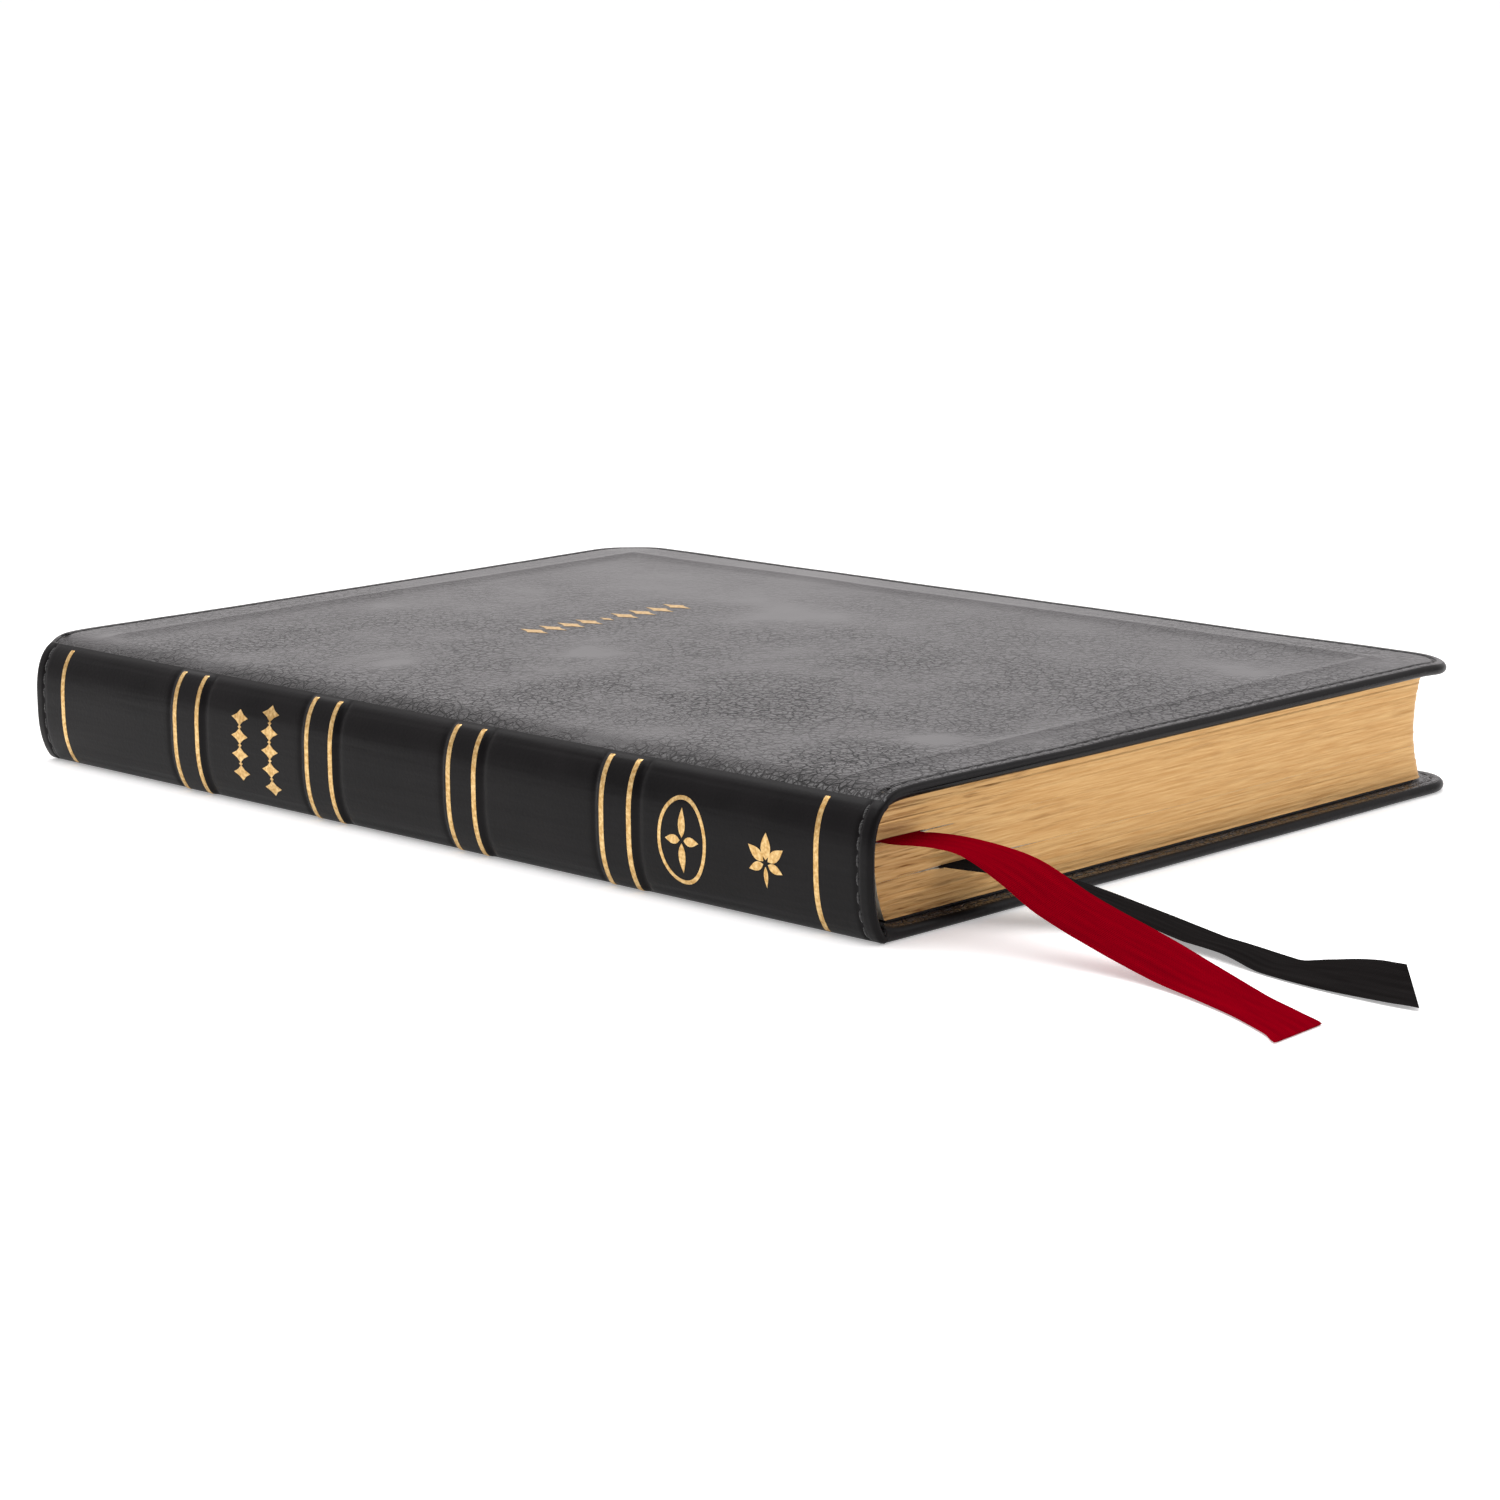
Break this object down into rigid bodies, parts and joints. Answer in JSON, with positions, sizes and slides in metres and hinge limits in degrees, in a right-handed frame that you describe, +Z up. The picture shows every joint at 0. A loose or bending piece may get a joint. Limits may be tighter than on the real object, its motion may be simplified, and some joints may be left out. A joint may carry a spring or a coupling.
{
  "type": "bible",
  "caption": "Closed bible with soft stitched leather covers, a ribbed spine, gilt page edges and two satin ribbons; covers, spine and pages open.",
  "frame": {"origin": "on the underside of the back cover, under the middle of the book's box without its ribbon tails", "axes": "+Y towards the head of the book, +Z up through the covers, +X from the spine to the fore edge"},
  "size_m": [0.1736, 0.3195, 0.0265],
  "materials": {
    "cover_leather": "satin pebbled imitation leather",
    "spine_leather": "smooth satin imitation leather",
    "board": "matt grey board",
    "endpaper": "matt black paper",
    "thread": "black twisted thread",
    "mull": "open cotton cloth",
    "lining_paper": "kraft paper",
    "sewing_thread": "waxed thread",
    "gilt_paper": "thin paper with gilt edges",
    "red_satin": "woven satin ribbon",
    "black_satin": "woven satin ribbon"
  },
  "bodies": {
    "back_cover": {"back_cover_skin": "cover_leather", "back_cover_board": "board", "back_cover_stitching": "thread", "rear_pastedown": "endpaper", "rear_hinge_strip": "mull"},
    "rear_flyleaf": {"rear_flyleaf": "endpaper"},
    "rear_pages": {"section_06": "gilt_paper", "section_07": "gilt_paper", "section_08": "gilt_paper", "section_09": "gilt_paper", "section_10": "gilt_paper", "section_11": "gilt_paper", "section_12": "gilt_paper", "section_13": "gilt_paper", "section_14": "gilt_paper", "section_15": "gilt_paper", "section_16": "gilt_paper", "rear_sewing_thread": "sewing_thread", "rear_mull": "mull", "rear_spine_lining": "lining_paper", "red_ribbon_inner": "red_satin", "red_ribbon_tail": "red_satin", "black_ribbon_inner": "black_satin", "black_ribbon_tail": "black_satin"},
    "front_pages": {"section_01": "gilt_paper", "section_02": "gilt_paper", "section_03": "gilt_paper", "section_04": "gilt_paper", "section_05": "gilt_paper", "front_sewing_thread": "sewing_thread", "front_mull": "mull", "front_spine_lining": "lining_paper"},
    "spine": {"spine_skin": "spine_leather", "spine_inlay": "board", "raised_band_1": "board", "raised_band_2": "board", "raised_band_3": "board", "raised_band_4": "board", "spine_head_stitching": "thread", "spine_tail_stitching": "thread"},
    "front_hinge": {"front_hinge_strip": "mull", "front_flyleaf": "endpaper"},
    "front_cover": {"front_cover_skin": "cover_leather", "front_cover_board": "board", "front_cover_stitching": "thread", "front_pastedown": "endpaper"}
  },
  "joints": [
    {"name": "book_opens", "type": "hinge", "parent": "rear_pages", "child": "front_pages", "pos_m": [-0.08335, 0, 0.01325], "axis": [0, -1, 0], "range_deg": [0, 180]},
    {"name": "spine_turns", "type": "hinge", "parent": "rear_pages", "child": "spine", "pos_m": [-0.08325, 0, 0], "axis": [0, -1, 0], "range_deg": [0, 90]},
    {"name": "front_hinge_turns", "type": "hinge", "parent": "spine", "child": "front_hinge", "pos_m": [-0.08325, 0, 0.0265], "axis": [0, -1, 0], "range_deg": [0, 90]},
    {"name": "front_cover_swings", "type": "hinge", "parent": "front_hinge", "child": "front_cover", "pos_m": [-0.08325, 0, 0.0265], "axis": [0, 1, 0], "range_deg": [-110, 0]},
    {"name": "book_lifts_off_back_cover", "type": "hinge", "parent": "back_cover", "child": "rear_pages", "pos_m": [-0.08325, 0, 0], "axis": [0, 1, 0], "range_deg": [-70, 0]},
    {"name": "rear_flyleaf_lifts", "type": "hinge", "parent": "back_cover", "child": "rear_flyleaf", "pos_m": [-0.07905, 0, 0.0024], "axis": [0, 1, 0], "range_deg": [-35, 0]}
  ],
  "couplings": [
    {"joint": "spine_turns", "follows": "book_opens", "ratio": 0.5},
    {"joint": "front_hinge_turns", "follows": "book_opens", "ratio": 0.5},
    {"joint": "rear_flyleaf_lifts", "follows": "book_lifts_off_back_cover", "ratio": 0.5}
  ]
}
